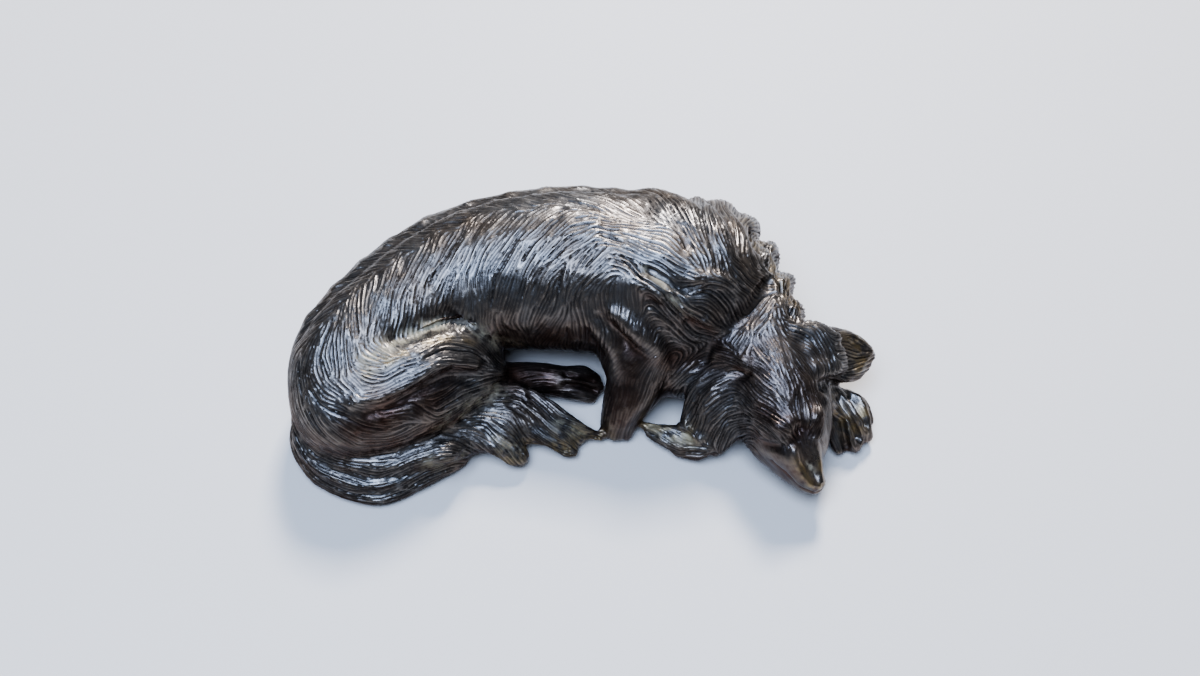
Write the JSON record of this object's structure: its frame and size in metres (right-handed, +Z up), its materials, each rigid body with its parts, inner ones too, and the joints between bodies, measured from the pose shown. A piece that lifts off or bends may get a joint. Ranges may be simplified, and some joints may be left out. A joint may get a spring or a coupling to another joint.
{
  "type": "dog figurine",
  "caption": "Small cast bronze of a long-haired dog lying curled up asleep, head over its forepaw and long tail swept round to its paws. It rests on its own flat underside.",
  "frame": {"origin": "on the surface it rests on, under the centre of the bounding box", "axes": "+X from the rump towards the head along the length, -Y towards the legs and the muzzle, +Z up"},
  "size_m": [0.12, 0.0632, 0.0349],
  "materials": {
    "bronze": "cast bronze with a dark brown patina, polished by handling on the raised hair"
  },
  "bodies": {
    "root": {"dog_casting": "bronze"}
  },
  "joints": []
}
